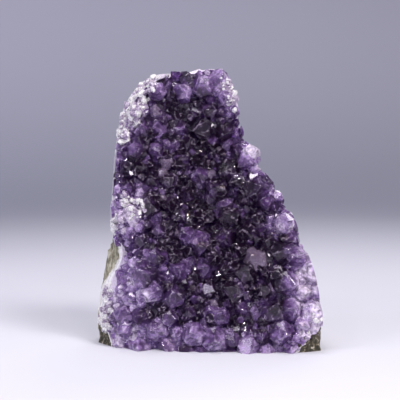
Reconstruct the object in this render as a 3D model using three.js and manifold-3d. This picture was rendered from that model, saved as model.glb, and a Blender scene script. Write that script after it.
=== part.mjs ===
// A cut-base amethyst cluster: a piece of geode wall that stands on its sawn foot.
// Three minerals grew on each other and stay joined: basalt host rock at the back, a band of
// white quartz on it, and amethyst crystals that face forwards. Saw cuts trim all three alike.
// Millimetres, +Z up, the crystal face looks along -Y, and the origin lies on the sawn foot,
// under the middle of the stone.
import * as THREE from "three";
import { mergeVertices } from "three/addons/utils/BufferGeometryUtils.js";
import Module from "manifold-3d";

const wasm = await Module();
wasm.setup();

// ---- Driving dimensions ----
const footHalfWidth = 45;
const footDepth = 27; // from the middle plane to the back of the foot
const crystalTop = 112; // no crystal grows higher
const layerGap = 0.3; // kept between minerals, which touch in the real stone

const faceAtFoot = -19.5; // crystal roots at the foot, before the bowl and the lumps
const faceLean = 0.2; // how far the crystal face leans back for each unit of height
const bowl = { x: 3, z: 56.5, halfWidth: 19, halfHeight: 37, depth: 7.5 };
const lumps = [
  { x: -14, z: 101.5, width: 9, rise: 4.5 }, // top left
  { x: 2, z: 99.5, width: 10, rise: 5 }, // top right
  { x: 17, z: 70, width: 11, rise: 3 }, // right side
  { x: -27, z: 29.5, width: 12, rise: 3 }, // lower left
];
const massiveAmethyst = 7; // solid amethyst under the free crystal tips
const footSwell = { rise: 5.5, height: 8 }; // the amethyst is thicker just above the foot
const thickAmethyst = [{ x: -44, z: 14, width: 15, rise: 7 }]; // low on the left it is thicker
const quartzThickness = 4.5;
const thinnestLayer = 1.2;
// Where the rock comes forwards through the quartz, and the one place where it falls back.
const rockPushes = [
  { x: -42, z: 36, width: 12, rise: 1.5 }, // a window low on the left side
  { x: -47, z: 1, width: 7, rise: 18 }, // the left end of the foot
  { x: 46, z: 0, width: 14, rise: 22 }, // the right end of the foot
  { x: -44, z: 14, width: 10, rise: -2 },
];

// The rough back: it leans forwards as it rises, and curves forwards at the sides, less so high up.
const rockBack = { lean: 0.09, rounding: 14, topRounding: 5.6, widest: 1.15, lumpHeight: 1.1 };

// The saw cut across the front shows only low down. It leans forwards, and the crystals back.
const frontSaw = { atFoot: -22.5, lean: 0.2 };
const frontLeft = { from: 10, reach: 55, rounding: 14 };
const frontRight = { from: 30, reach: 15, rounding: 6 };

// The left side was ground at a slant, steeply below and slightly above, from the crystals back.
const leftGrinding = { steepSlant: 0.62, slightSlant: 0.16, steepBelow: 34, slightAbove: 56 };
const grindingLean = 0.14; // the slant starts at this share of the height
const rightSlant = 0.14; // the right side draws in towards the back
const rightSlantFrom = -12;

const crystalSeed = 23;
const crystalPitch = 8.3; // between the primary crystals
const crystalJitter = 0.3; // of the pitch
const crystalOverhang = 1.2; // how far outside the saw cut one may stand
const crystalRoot = 4.5; // buried length
const lowestShoulder = -0.6; // where the prism ends, from the root surface
const highestShoulder = 2.4;
const smallestCrystal = 3.2; // apothem of the hexagonal prism
const largestCrystal = 5.8;
const crystalLean = 0.62; // how far the axes scatter
const overRightEdge = 0.5; // how far they lean out at the right edge
const fineCorner = { x: -34, z: 96, width: 20 }; // crystals stay small in the upper left
const rhombAngle = THREE.MathUtils.degToRad(51.8); // quartz: c axis to a rhombohedral face normal

// The uncut blocks are wider, deeper and taller than the stone.
const blockHalfWidth = 52;
const blockHalfDepth = 40;
const blockHeight = 122;
const blockColumns = 13;
const blockRows = 16;
const farBack = 60;

// ---- Small formulas ----
const bell = (distance, width) => Math.exp(-((distance / width) ** 2));
const mix = (from, to, share) => from + (to - from) * share;

// A repeatable random stream, so that every build grows the same crystals.
function randomStream(seed) {
  let state = seed;
  return () => {
    state = (state + 0x6d2b79f5) | 0;
    let t = Math.imul(state ^ (state >>> 15), 1 | state);
    t = (t + Math.imul(t ^ (t >>> 7), 61 | t)) ^ t;
    return ((t ^ (t >>> 14)) >>> 0) / 4294967296;
  };
}

// ---- The surfaces between the minerals: each gives y for a place (x, z) ----
const middle = (z) => -0.07 * z; // the stone narrows towards its upper left
const halfWidth = (z) => footHalfWidth - 0.25 * z;
const mound = (x, z, { x: atX, z: atZ, width }) => bell(Math.hypot(x - atX, z - atZ), width);
const mounds = (x, z, list) => list.reduce((sum, one) => sum + one.rise * mound(x, z, one), 0);
const ripple = (x, z) =>
  Math.sin(0.31 * x + 1.7) * Math.sin(0.27 * z + 0.4) + 0.6 * Math.sin(0.53 * x - 0.41 * z + 2.1);

function bowlAndLumps(x, z) {
  const across = bell(x - middle(z) - bowl.x, bowl.halfWidth);
  const hollow = bowl.depth * across * bell(z - bowl.z, bowl.halfHeight);
  return faceAtFoot + faceLean * z + hollow - mounds(x, z, lumps) + 0.9 * ripple(x, z);
}

const crystalRoots = (x, z) => bowlAndLumps(x, z) - footSwell.rise * bell(z, footSwell.height);

// Where no rock pushes through, the amethyst is solid to this depth.
function amethystDepth(x, z) {
  const thickness = massiveAmethyst + mounds(x, z, thickAmethyst) + 0.5 * ripple(z, x);
  return bowlAndLumps(x, z) + thickness;
}

const rockFront = (x, z) => amethystDepth(x, z) + quartzThickness - mounds(x, z, rockPushes);
const quartzFront = (x, z) => Math.min(amethystDepth(x, z), rockFront(x, z) - thinnestLayer);
const massiveFront = (x, z) => Math.min(crystalRoots(x, z), quartzFront(x, z) - thinnestLayer);

function rockSkin(x, z) {
  const across = Math.min(Math.abs(x - middle(z)) / halfWidth(z), rockBack.widest);
  const upper = THREE.MathUtils.smoothstep(z, 50, 100);
  const curved = mix(rockBack.rounding, rockBack.topRounding, upper) * across ** 3;
  return footDepth - rockBack.lean * z - curved + rockBack.lumpHeight * ripple(1.3 * x, 1.2 * z);
}

// The saw's own face low at the front. Higher up it stands clear of the crystals.
function frontCut(x, z) {
  const roundedLeft = frontLeft.rounding * Math.max(0, (frontLeft.from - x) / frontLeft.reach) ** 2;
  const past = Math.max(0, (x - frontRight.from) / frontRight.reach);
  const roundedRight = frontRight.rounding * past ** 2;
  return frontSaw.atFoot + roundedLeft + roundedRight - frontSaw.lean * z;
}

// ---- Solids ----
// A closed geometry as a manifold-3d solid.
function solidOf(geometry) {
  const bare = geometry.clone().deleteAttribute("normal").deleteAttribute("uv");
  const merged = mergeVertices(bare, 1e-3);
  const vertProperties = merged.attributes.position.array;
  const triVerts = new Uint32Array(merged.index.array);
  return new wasm.Manifold(new wasm.Mesh({ numProp: 3, vertProperties, triVerts }));
}

function meshOf(solid, name, material) {
  const made = solid.getMesh();
  const positions = new THREE.BufferAttribute(made.vertProperties, 3);
  const geometry = new THREE.BufferGeometry().setAttribute("position", positions);
  geometry.setIndex(new THREE.BufferAttribute(made.triVerts, 1));
  geometry.computeVertexNormals();
  const mesh = new THREE.Mesh(geometry, material);
  mesh.name = name;
  return mesh;
}

// All that lies behind a surface and above the foot plane z = 0, in a block larger than the stone.
// Every block has the same grid, so that two minerals keep an even gap.
function behind(surface, back = () => farBack) {
  const geometry = new THREE.BoxGeometry(
    2 * blockHalfWidth, 2, blockHeight, blockColumns, 1, blockRows,
  );
  geometry.translate(0, 0, blockHeight / 2);
  const place = geometry.attributes.position;
  for (let i = 0; i < place.count; i += 1) {
    const facing = place.getY(i) < 0 ? surface : back;
    place.setY(i, facing(place.getX(i), place.getZ(i)));
  }
  return solidOf(geometry);
}

// ---- The saw cut round the stone ----
// Seen from the front: up the left side, over the top, and down the stepped right side.
const outline = new THREE.CatmullRomCurve3(
  [
    [-41.5, -8], [-45.6, 4], [-44.8, 17.5], [-41.6, 37], [-40.4, 58.5], [-38.8, 78],
    [-36.6, 90.5], [-31.4, 101], [-23, 107.2], [-10.5, 108], [1, 111], [8, 107.4],
    [11, 95.5], [13.6, 86], [15.2, 80.6], [19.8, 77.4], [21, 71], [28.6, 60], [34.4, 46],
    [40.2, 30], [42.9, 13.5], [43.2, 0], [41, -8],
  ].map(([x, z]) => new THREE.Vector3(x, z, 0)),
  true,
  "centripetal",
);
const outlineSteps = 54;
const depthSteps = 5;

// How far the ground left side and the right side lie inside the front outline.
function groundInwards(x, y, z) {
  const { steepSlant, slightSlant, steepBelow, slightAbove } = leftGrinding;
  const upper = THREE.MathUtils.smoothstep(z, steepBelow, slightAbove);
  const ahead = Math.max(0, grindingLean * z - y);
  const left = THREE.MathUtils.smoothstep(-x, 4, 22);
  const rearwards = Math.max(0, y - rightSlantFrom);
  const right = THREE.MathUtils.smoothstep(x, -2, 12);
  return mix(steepSlant, slightSlant, upper) * ahead * left - rightSlant * rearwards * right;
}

function sawnOutline() {
  const points = outline.getSpacedPoints(outlineSteps).slice(0, -1);
  const shape = new THREE.Shape(points.map((p) => new THREE.Vector2(p.x, p.y)));
  const geometry = new THREE.ExtrudeGeometry(shape, {
    depth: 2 * blockHalfDepth,
    steps: depthSteps,
    bevelEnabled: false,
  });
  geometry.translate(0, 0, -blockHalfDepth);
  geometry.rotateX(Math.PI / 2);
  const place = geometry.attributes.position;
  for (let i = 0; i < place.count; i += 1) {
    const [x, y, z] = [place.getX(i), place.getY(i), place.getZ(i)];
    place.setX(i, x + groundInwards(x, y, z));
  }
  return solidOf(geometry);
}

// Whether a place is inside the saw cut, or within a margin of it.
function insideOutline(x, z, margin) {
  const edge = outline.getPoints(160);
  const near = edge.some((p) => Math.hypot(p.x - x, p.y - z) < margin);
  const crossings = edge.filter((a, i) => {
    const b = edge[(i + edge.length - 1) % edge.length];
    return a.y > z !== b.y > z && x < mix(a.x, b.x, (z - a.y) / (b.y - a.y));
  });
  return near || crossings.length % 2 === 1;
}

// ---- The crystals ----
// One quartz crystal along +Y of its own frame: a hexagonal prism ended by three large
// rhombohedral faces and three smaller ones. Its shoulder is at the origin.
function quartzCrystal(apothem, root, random) {
  const circumradius = apothem / Math.cos(Math.PI / 6);
  const free = 2.2 * apothem;
  const prism = new THREE.CylinderGeometry(circumradius, 0.85 * circumradius, root + free, 6);
  prism.translate(0, (free - root) / 2, 0);
  let crystal = solidOf(prism);
  for (let face = 0; face < 6; face += 1) {
    const turn = (face * Math.PI) / 3 + Math.PI / 6;
    const outwards = [
      Math.sin(rhombAngle) * Math.sin(turn),
      Math.cos(rhombAngle),
      Math.sin(rhombAngle) * Math.cos(turn),
    ];
    const share = face % 2 ? mix(1.04, 1.24, random()) : mix(0.9, 1.04, random());
    const offset = apothem * Math.sin(rhombAngle) * share;
    crystal = crystal.trimByPlane(outwards.map((n) => -n), -offset);
  }
  return crystal;
}

// The way a crystal points at (x, z): square to its root surface, then leaning at random, and
// outwards over the right edge, where the growth spreads.
function growthDirection(x, z, random) {
  const step = 0.5;
  const slopeX = (crystalRoots(x + step, z) - crystalRoots(x - step, z)) / (2 * step);
  const slopeZ = (crystalRoots(x, z + step) - crystalRoots(x, z - step)) / (2 * step);
  const edge = halfWidth(z);
  const overRight = overRightEdge * THREE.MathUtils.smoothstep(x - middle(z), 0.6 * edge, edge);
  return new THREE.Vector3(
    slopeX + overRight + crystalLean * (random() - 0.5),
    -1,
    slopeZ + crystalLean * (random() - 0.5),
  ).normalize();
}

function placedCrystal(x, z, random) {
  const fine = mound(x, z, fineCorner);
  const largest = mix(largestCrystal, smallestCrystal, fine);
  const apothem = mix(smallestCrystal, largest, random() ** 1.3);
  const rise = mix(lowestShoulder, highestShoulder, random());
  const along = growthDirection(x, z, random);
  const shoulder = new THREE.Vector3(x, crystalRoots(x, z), z).addScaledVector(along, rise);
  const upright = new THREE.Quaternion().setFromUnitVectors(new THREE.Vector3(0, 1, 0), along);
  const spin = new THREE.Quaternion().setFromAxisAngle(along, 2 * Math.PI * random());
  const size = new THREE.Vector3(1, 1, 1);
  const matrix = new THREE.Matrix4().compose(shoulder, spin.multiply(upright), size);
  return quartzCrystal(apothem, crystalRoot + rise, random).transform(matrix.elements);
}

// Crystals stand on a hexagonal pattern with jitter, as close as their prisms allow.
function primaryCrystals() {
  const random = randomStream(crystalSeed);
  const rowPitch = crystalPitch * Math.sin(Math.PI / 3);
  const crystals = [];
  for (let row = 0; row * rowPitch < crystalTop; row += 1) {
    const shift = row % 2 ? crystalPitch / 2 : 0;
    for (let x = -blockHalfWidth + shift; x < blockHalfWidth; x += crystalPitch) {
      const atX = x + crystalPitch * crystalJitter * (2 * random() - 1);
      const atZ = row * rowPitch + crystalPitch * crystalJitter * (2 * random() - 1);
      if (insideOutline(atX, atZ, crystalOverhang)) crystals.push(placedCrystal(atX, atZ, random));
    }
  }
  return crystals;
}

// ---- The stone ----
const shifted = (surface, by) => (x, z) => surface(x, z) + by;
const cutBlock = behind(frontCut, rockSkin).intersect(sawnOutline());

function hostRock() {
  const rock = behind(shifted(rockFront, layerGap / 2)).intersect(cutBlock);
  const basalt = new THREE.MeshStandardMaterial({ color: 0x6e6a58, roughness: 0.9, metalness: 0 });
  return meshOf(rock, "host_rock", basalt);
}

function quartzBand() {
  const quartz = behind(shifted(quartzFront, layerGap / 2));
  const band = quartz.subtract(behind(shifted(rockFront, -layerGap / 2))).intersect(cutBlock);
  const white = new THREE.MeshStandardMaterial({ color: 0xddd8de, roughness: 0.45, metalness: 0 });
  return meshOf(band, "quartz_band", white);
}

function amethystCrystals() {
  const grown = wasm.Manifold.union([behind(massiveFront), ...primaryCrystals()]);
  const druse = grown.subtract(behind(shifted(quartzFront, -layerGap / 2))).intersect(cutBlock);
  const violet = new THREE.MeshStandardMaterial({ color: 0x6b4a86, roughness: 0.15, metalness: 0 });
  return meshOf(druse, "amethyst_crystals", violet);
}

const amethystCluster = new THREE.Group();
amethystCluster.name = "amethyst_cluster";
amethystCluster.add(hostRock(), quartzBand(), amethystCrystals());

export default amethystCluster;
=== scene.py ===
# A cut-base amethyst cluster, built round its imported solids: basalt at the back, a band of white
# quartz on it, and a druse of see-through violet crystals in front. Sizes in the formulas are
# millimetres, as in the solids' own formulas, and meshes are metres.
import math

import bmesh
import bpy
import numpy as np
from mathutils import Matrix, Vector, noise


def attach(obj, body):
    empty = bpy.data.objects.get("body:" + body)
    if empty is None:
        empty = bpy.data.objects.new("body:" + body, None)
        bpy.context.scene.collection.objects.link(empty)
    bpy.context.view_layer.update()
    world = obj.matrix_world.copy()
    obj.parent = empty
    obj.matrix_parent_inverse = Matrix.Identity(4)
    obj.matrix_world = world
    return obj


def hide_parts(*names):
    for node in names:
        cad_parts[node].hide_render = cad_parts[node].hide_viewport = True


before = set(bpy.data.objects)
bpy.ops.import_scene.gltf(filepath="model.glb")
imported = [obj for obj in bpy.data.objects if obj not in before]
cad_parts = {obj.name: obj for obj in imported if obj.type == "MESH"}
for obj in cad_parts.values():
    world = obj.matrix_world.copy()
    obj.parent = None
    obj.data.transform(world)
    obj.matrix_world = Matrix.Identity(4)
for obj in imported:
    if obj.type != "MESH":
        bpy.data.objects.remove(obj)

scene = bpy.context.scene
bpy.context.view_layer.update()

# ---- Camera ----
# It stands in front of the crystal face and looks a little down on it. The stone fills about
# seven tenths of the frame's height.
CAMERA_LENS = 135
CAMERA_DISTANCE = 0.6
CAMERA_ELEVATION = math.radians(5)
FRAME_CENTRE = Vector((-0.0042, 0, 0.0576))

camera = bpy.data.objects.new("camera", bpy.data.cameras.new("camera"))
camera.data.lens = CAMERA_LENS
camera.data.clip_start = 0.01
camera_back = Vector((0, -math.cos(CAMERA_ELEVATION), math.sin(CAMERA_ELEVATION)))
camera.location = FRAME_CENTRE + CAMERA_DISTANCE * camera_back
camera.rotation_euler = (-camera_back).to_track_quat("-Z", "Y").to_euler()
scene.collection.objects.link(camera)
scene.camera = camera

# ---- Studio ----
# A round cove: a pale floor that curves up into a grey-blue wall on every side, so that each view
# has the same setting. The wall is painted darker than the floor, as painted shade on its upright
# part, and turns lighter again towards its top. Across the wall, painted light makes the left side
# lighter and the right side darker. Soft lights stand inside it.
COVE_RADIUS = 1.1
COVE_FILLET = 0.55
COVE_HEIGHT = 1.4
COVE_SIDES = 96
FILLET_STEPS = 12
FLOOR_COLOUR = (0.62, 0.61, 0.69)
SHADED_WALL_COLOUR = (0.265, 0.265, 0.335)
UPPER_SHADED_WALL_COLOUR = (0.42, 0.41, 0.5)
WALL_STARTS = (0.35, 0.7)  # distances from the stone
# Painted light and shade on the wall: lighter at the left, darker at the right.
PAINTED_SIDE_LIGHT = (1.2, 0.82)  # from left to right
PAINTED_SIDE_LIGHT_REACH = 0.25


def object_from(name, points, faces, smooth=False):
    mesh = bpy.data.meshes.new(name)
    mesh.from_pydata(points, [], faces)
    mesh.polygons.foreach_set("use_smooth", [smooth] * len(mesh.polygons))
    made = bpy.data.objects.new(name, mesh)
    scene.collection.objects.link(made)
    return made


def new_material(name):
    material = bpy.data.materials.new(name)
    material.use_nodes = True
    return material, material.node_tree, material.node_tree.nodes["Principled BSDF"]


def give(tree, made, numbered=None, **inputs):
    """Sets a node's inputs, by number or by name, each to a value or a socket."""
    for key, value in [*(numbered or {}).items(), *inputs.items()]:
        socket = made.inputs[key if isinstance(key, int) else key.replace("_", " ")]
        if isinstance(value, bpy.types.NodeSocket):
            tree.links.new(value, socket)
        else:
            socket.default_value = value


def add_node(tree, kind, settings=None, numbered=None, **inputs):
    """A new node with its settings, and with its inputs given."""
    made = tree.nodes.new(kind)
    for key, value in (settings or {}).items():
        setattr(made, key, value)
    give(tree, made, numbered, **inputs)
    return made


def object_place(tree):
    return add_node(tree, "ShaderNodeTexCoord").outputs["Object"]


def mapped(tree, value, low, high, to_low, to_high):
    """A value taken from one range to another, and held inside it."""
    inputs = dict(enumerate((value, low, high, to_low, to_high)))
    return add_node(tree, "ShaderNodeMapRange", None, inputs).outputs["Result"]


def mixed(tree, share, first, second, blend="MIX"):
    """A mix of two colours, each a value or a socket."""
    settings = {"data_type": "RGBA", "blend_type": blend}
    inputs = {0: share, 6: first, 7: second}
    return add_node(tree, "ShaderNodeMix", settings, inputs).outputs[2]


def ramp_of(tree, share, *stops, interpolation="LINEAR"):
    """A colour ramp with stops of (place, colour)."""
    made = add_node(tree, "ShaderNodeValToRGB", Fac=share)
    made.color_ramp.interpolation = interpolation
    while len(made.color_ramp.elements) < len(stops):
        made.color_ramp.elements.new(1)
    for element, (at, colour) in zip(made.color_ramp.elements, stops):
        element.position = at
        element.color = (*colour, 1)
    return made.outputs["Color"]


profile = [(0.0, 0.0), (COVE_RADIUS - COVE_FILLET, 0.0)]
for i in range(1, FILLET_STEPS + 1):
    turn = math.radians(90) * i / FILLET_STEPS
    out = COVE_RADIUS - COVE_FILLET * (1 - math.sin(turn))
    profile.append((out, COVE_FILLET * (1 - math.cos(turn))))
profile.append((COVE_RADIUS, COVE_HEIGHT))
cove_points = [(0, 0, 0)]
for radius, level in profile[1:]:
    for i in range(COVE_SIDES):
        turn = 2 * math.pi * i / COVE_SIDES
        cove_points.append((radius * math.cos(turn), radius * math.sin(turn), level))
cove_faces = [(0, 1 + i, 1 + (i + 1) % COVE_SIDES) for i in range(COVE_SIDES)]
for ring in range(len(profile) - 2):
    start = 1 + ring * COVE_SIDES
    for i in range(COVE_SIDES):
        j = (i + 1) % COVE_SIDES
        above = start + COVE_SIDES
        cove_faces.append((start + i, above + i, above + j, start + j))
cove = object_from("cove", cove_points, cove_faces, smooth=True)
cove_material, tree, shader = new_material("cove_paper_painted_shade")
place = object_place(tree)
apart = add_node(tree, "ShaderNodeVectorMath", {"operation": "LENGTH"}, {0: place})
apart = apart.outputs["Value"]
# Painted shade: the upright wall is coloured darker than the floor, and lighter again near its top.
paper_and_painted_shade = ramp_of(
    tree,
    apart,
    (0.2, FLOOR_COLOUR),
    (0.62, SHADED_WALL_COLOUR),
    (1, UPPER_SHADED_WALL_COLOUR),
    interpolation="EASE",
)
# Painted light across the wall: its colour is raised at the left and lowered at the right.
across = add_node(tree, "ShaderNodeSeparateXYZ", Vector=place).outputs["X"]
painted_side_light = mapped(tree, across, -PAINTED_SIDE_LIGHT_REACH, PAINTED_SIDE_LIGHT_REACH, *PAINTED_SIDE_LIGHT)
paper_and_painted_shade = mixed(tree, mapped(tree, apart, *WALL_STARTS, 0, 1), paper_and_painted_shade, painted_side_light, "MULTIPLY")
give(tree, shader, Base_Color=paper_and_painted_shade, Roughness=0.9)
cove.data.materials.append(cove_material)


def soft_light(name, place, size, power, colour=(1, 1, 1)):
    lamp = bpy.data.lights.new(name, "AREA")
    lamp.shape = "RECTANGLE"
    lamp.size, lamp.size_y = size
    lamp.energy = power
    lamp.color = colour
    made = bpy.data.objects.new(name, lamp)
    made.location = place
    aim = FRAME_CENTRE - Vector(place)
    made.rotation_euler = aim.to_track_quat("-Z", "Y").to_euler()
    scene.collection.objects.link(made)


soft_light("window", (0.4, -0.5, 0.75), (0.26, 0.26), 4.8)
soft_light("overhead", (-0.1, 0.05, 0.9), (0.45, 0.45), 3.2)
soft_light("left_fill", (-0.7, -0.35, 0.35), (0.2, 0.3), 1.2, (0.93, 0.95, 1))
soft_light("back_fill", (0.3, 0.75, 0.6), (0.5, 0.4), 1.8)
# Small lamps, spread like sunflower seeds, for points of light on the crystal faces. A few are
# warm, and those that would stand too low are left out.
GLINT_LAMPS = 21
GLINT_TURN = math.radians(137.5)
GLINT_REACH = 0.55
GLINT_LIFT = 0.35
GLINT_SIZE = (0.013, 0.013)
GLINT_POWER = 0.17
LOWEST_GLINT = 0.08
WARM_WHITE = (1, 0.85, 0.62)
for i in range(GLINT_LAMPS):
    turn = GLINT_TURN * (i + 3)
    spread = 0.35 + math.sqrt(i / GLINT_LAMPS)
    away = Vector((spread * math.cos(turn), -1, GLINT_LIFT + spread * math.sin(turn)))
    away.normalize()
    colour = WARM_WHITE if i % 5 == 3 else (1, 1, 1)
    if away.z > LOWEST_GLINT:
        lamp_place = GLINT_REACH * away + FRAME_CENTRE
        soft_light(f"glint_{i:02}", lamp_place, GLINT_SIZE, GLINT_POWER, colour)
scene.world = bpy.data.worlds.new("world")
scene.world.use_nodes = True
sky = scene.world.node_tree
give(sky, sky.nodes["Background"], Color=(0.75, 0.78, 0.9, 1), Strength=0.28)
scene.view_settings.view_transform = "Standard"

# ---- Saw cuts ----
# The stone was sawn all round and across the foot, and ground at a slant down its left side.
# This closed shape, which isn't shown, trims all three minerals alike.
MM = 0.001
BLOCK_HALF_WIDTH = 52
BLOCK_HEIGHT = 122
FAR_BACK = 60
SAW_REACH = 40
SAW_STEPS = 44
OUTLINE_STEPS = 240
COARSE_STEPS = 160
SLAB_STEP = 2
STEEP_SLANT = 0.62
SLIGHT_SLANT = 0.16
RIGHT_SLANT = 0.14
GROUND_LEAN = 0.14  # the slant's edge, which leans back with the stone
OUTLINE = np.array(
    [
        [-41.5, -8], [-45.6, 4], [-44.8, 17.5], [-41.6, 37], [-40.4, 58.5], [-38.8, 78],
        [-36.6, 90.5], [-31.4, 101], [-23, 107.2], [-10.5, 108], [1, 111], [8, 107.4],
        [11, 95.5], [13.6, 86], [15.2, 80.6], [19.8, 77.4], [21, 71], [28.6, 60], [34.4, 46],
        [40.2, 30], [42.9, 13.5], [43.2, 0], [41, -8],
    ]
)  # fmt: skip


def smoothstep(value, low, high):
    share = np.clip((value - low) / (high - low), 0, 1)
    return share * share * (3 - 2 * share)


def mix(start, end, share):
    return start + (end - start) * share


def outline_points(count=OUTLINE_STEPS):
    """Places at even steps along a closed centripetal Catmull-Rom curve through OUTLINE."""
    corners = len(OUTLINE)
    found = []
    for i in range(count):
        along = i * corners / count
        first = math.floor(along)
        share = along - first
        p0, p1, p2, p3 = (OUTLINE[(first + k) % corners] for k in (-1, 0, 1, 2))
        d0, d1, d2 = (
            np.linalg.norm(b - a) ** 0.5 for a, b in ((p0, p1), (p1, p2), (p2, p3))
        )
        t1 = ((p1 - p0) / d0 - (p2 - p0) / (d0 + d1) + (p2 - p1) / d1) * d1
        t2 = ((p2 - p1) / d1 - (p3 - p1) / (d1 + d2) + (p3 - p2) / d2) * d1
        found.append(
            p1
            + t1 * share
            + (3 * (p2 - p1) - 2 * t1 - t2) * share**2
            + (2 * (p1 - p2) + t1 + t2) * share**3
        )
    return np.array(found)


def left_slant(z):
    """How far in the ground slant goes for each millimetre forwards."""
    return mix(STEEP_SLANT, SLIGHT_SLANT, smoothstep(z, 34, 56))


def ground_inwards(x, y, z):
    """How far the left side is ground in, and how far the right side leans in."""
    left = left_slant(z) * np.maximum(0, GROUND_LEAN * z - y) * smoothstep(-x, 4, 22)
    right = RIGHT_SLANT * np.maximum(0, y + 12) * smoothstep(x, -2, 12)
    return left - right


def sawn_outline(name, outwards):
    """The saw cut round the stone, moved outwards by a function of the place along it."""
    edge = outline_points()
    along = np.roll(edge, -1, 0) - np.roll(edge, 1, 0)
    along /= np.linalg.norm(along, axis=1)[:, None]
    moved_out = outwards(*edge.T)[:, None]
    edge = edge + moved_out * np.stack([-along[:, 1], along[:, 0]], 1)
    count = len(edge)
    points = []
    for y in np.linspace(-SAW_REACH, SAW_REACH, SAW_STEPS + 1):
        x, z = edge[:, 0], edge[:, 1]
        moved = x + ground_inwards(x, y, z)
        points.extend(zip(moved * MM, np.full(count, y) * MM, z * MM))
    faces = [tuple(range(count))]
    for ring in range(SAW_STEPS):
        for i in range(count):
            j = (i + 1) % count
            a = ring * count
            faces.append((a + j, a + i, a + count + i, a + count + j))
    faces.append(tuple(reversed(range(SAW_STEPS * count, (SAW_STEPS + 1) * count))))
    made = object_from(name, points, faces)
    bm = bmesh.new()
    bm.from_mesh(made.data)
    bmesh.ops.recalc_face_normals(bm, faces=bm.faces)
    bm.to_mesh(made.data)
    bm.free()
    return made


def block_between(name, front, back, step, foot=0):
    """All that lies between two surfaces y(x, z), above the foot."""
    columns = round(2 * BLOCK_HALF_WIDTH / step)
    rows = round(BLOCK_HEIGHT / step)
    across = np.linspace(-BLOCK_HALF_WIDTH, BLOCK_HALF_WIDTH, columns + 1)
    up = np.linspace(foot, BLOCK_HEIGHT, rows + 1)
    x, z = np.meshgrid(across, up, indexing="ij")
    sides = [np.stack([x, surface(x, z), z], -1).reshape(-1, 3) for surface in (front, back)]
    points = np.concatenate(sides) * MM
    half = len(points) // 2
    index = np.arange(half).reshape(columns + 1, rows + 1)
    quads = np.stack(
        [index[:-1, :-1], index[1:, :-1], index[1:, 1:], index[:-1, 1:]], -1
    ).reshape(-1, 4)
    rim = np.concatenate(
        [index[:-1, 0], index[-1, :-1], index[:0:-1, -1], index[0, :0:-1]]
    )
    ahead = np.roll(rim, -1)
    walls = np.stack([ahead, rim, rim + half, ahead + half], -1)
    faces = np.concatenate([quads, quads[:, ::-1] + half, walls])
    return object_from(name, points.tolist(), faces.tolist())


def front_cut(x, z):
    """The saw cut in front of the crystals, rounded at both ends."""
    rounded_left = 14 * np.maximum(0, (10 - x) / 55) ** 2
    rounded_right = 6 * np.maximum(0, (x - 30) / 15) ** 2
    return -22.5 + rounded_left + rounded_right - 0.2 * z


def far_back(x, z):
    """Behind the whole stone."""
    return np.full_like(x, FAR_BACK)


def joined(name, operation, first, *others):
    """A new plain mesh object: first, cut or joined by the others."""
    made = first.copy()
    made.data = first.data.copy()
    made.name = name
    scene.collection.objects.link(made)
    for other in others:
        cut = made.modifiers.new("cut", "BOOLEAN")
        cut.operation = operation
        cut.solver = "MANIFOLD"
        cut.object = other
    seen = bpy.context.evaluated_depsgraph_get()
    mesh = bpy.data.meshes.new_from_object(made.evaluated_get(seen))
    made.modifiers.clear()
    made.data = mesh
    mesh.name = name
    return made


def discard(*objects):
    for one in objects:
        bpy.data.objects.remove(one)


def mark(mesh, name, kind, values, domain="FACE"):
    """Stores a value for each face or point of a mesh."""
    data = mesh.attributes.new(name, kind, domain).data
    data.foreach_set("vector" if kind == "FLOAT_VECTOR" else "value", np.ravel(values))


def saw_cuts(outwards, front=front_cut):
    """The whole cut: its sides moved outwards, and what it left at the front."""
    outline = sawn_outline("outline", outwards)
    slab = block_between("front_slab", front, far_back, SLAB_STEP)
    made = joined("saw_cuts", "INTERSECT", outline, slab)
    mark(made.data, "sawn", "FLOAT", [1.0] * len(made.data.polygons))
    discard(outline, slab)
    return made


# ---- Host rock ----
# Weathered basalt that the geode grew in. Its back is the rind, lumpy and pitted, with a
# green celadonite bloom. The saw left its sides and foot flat.
FOOT_HALF_WIDTH = 45
FOOT_DEPTH = 27
FACE_AT_FOOT = -19.5
FACE_LEAN = 0.2
BOWL_DEPTH = 7.5
# Each lump: where it is, its width, and how far it stands out of the crystal face.
LUMPS = [(-14, 101.5, 9, 4.5), (2, 99.5, 10, 5), (17, 70, 11, 3), (-27, 29.5, 12, 3)]
LUMP_TOPS = [(-14.5, 107, 6, 1), (1, 110, 6, 1)]
LUMP_STANDS_OUT = 1.3  # the crystals, past the other two, on top of the right lump
MASSIVE_AMETHYST = 7
FOOT_SWELL = (5.5, 8)
THICK_AMETHYST = [(-44, 14, 15, 7)]
QUARTZ_THICKNESS = 4.5
THINNEST_LAYER = 1.2
ROCK_PUSHES = [(-42, 36, 12, 1.5), (-47, 1, 7, 18), (44, -1, 18, 21), (-44, 14, 10, -2)]
ROCK_INSET = 0.8
DEEPEST_WEAR = 1.1
CONTACT = 0.5  # each mineral reaches this far into the next, where the real ones touch
ROCK_STEP = 0.9


def bell(distance, width):
    """1 in the middle, falling off over a width."""
    return np.exp(-((distance / width) ** 2))


def mounds(x, z, places):
    """The sum of rounded lumps."""
    return sum(
        rise * bell(np.hypot(x - at_x, z - at_z), width)
        for at_x, at_z, width, rise in places
    )


def ripple(x, z):
    """A gentle unevenness, about -1.6 to 1.6."""
    return np.sin(0.31 * x + 1.7) * np.sin(0.27 * z + 0.4) + 0.6 * np.sin(
        0.53 * x - 0.41 * z + 2.1
    )


def middle(z):
    """The stone's middle line, which leans left."""
    return -0.07 * z


def half_width(z):
    return FOOT_HALF_WIDTH - 0.25 * z


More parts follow.
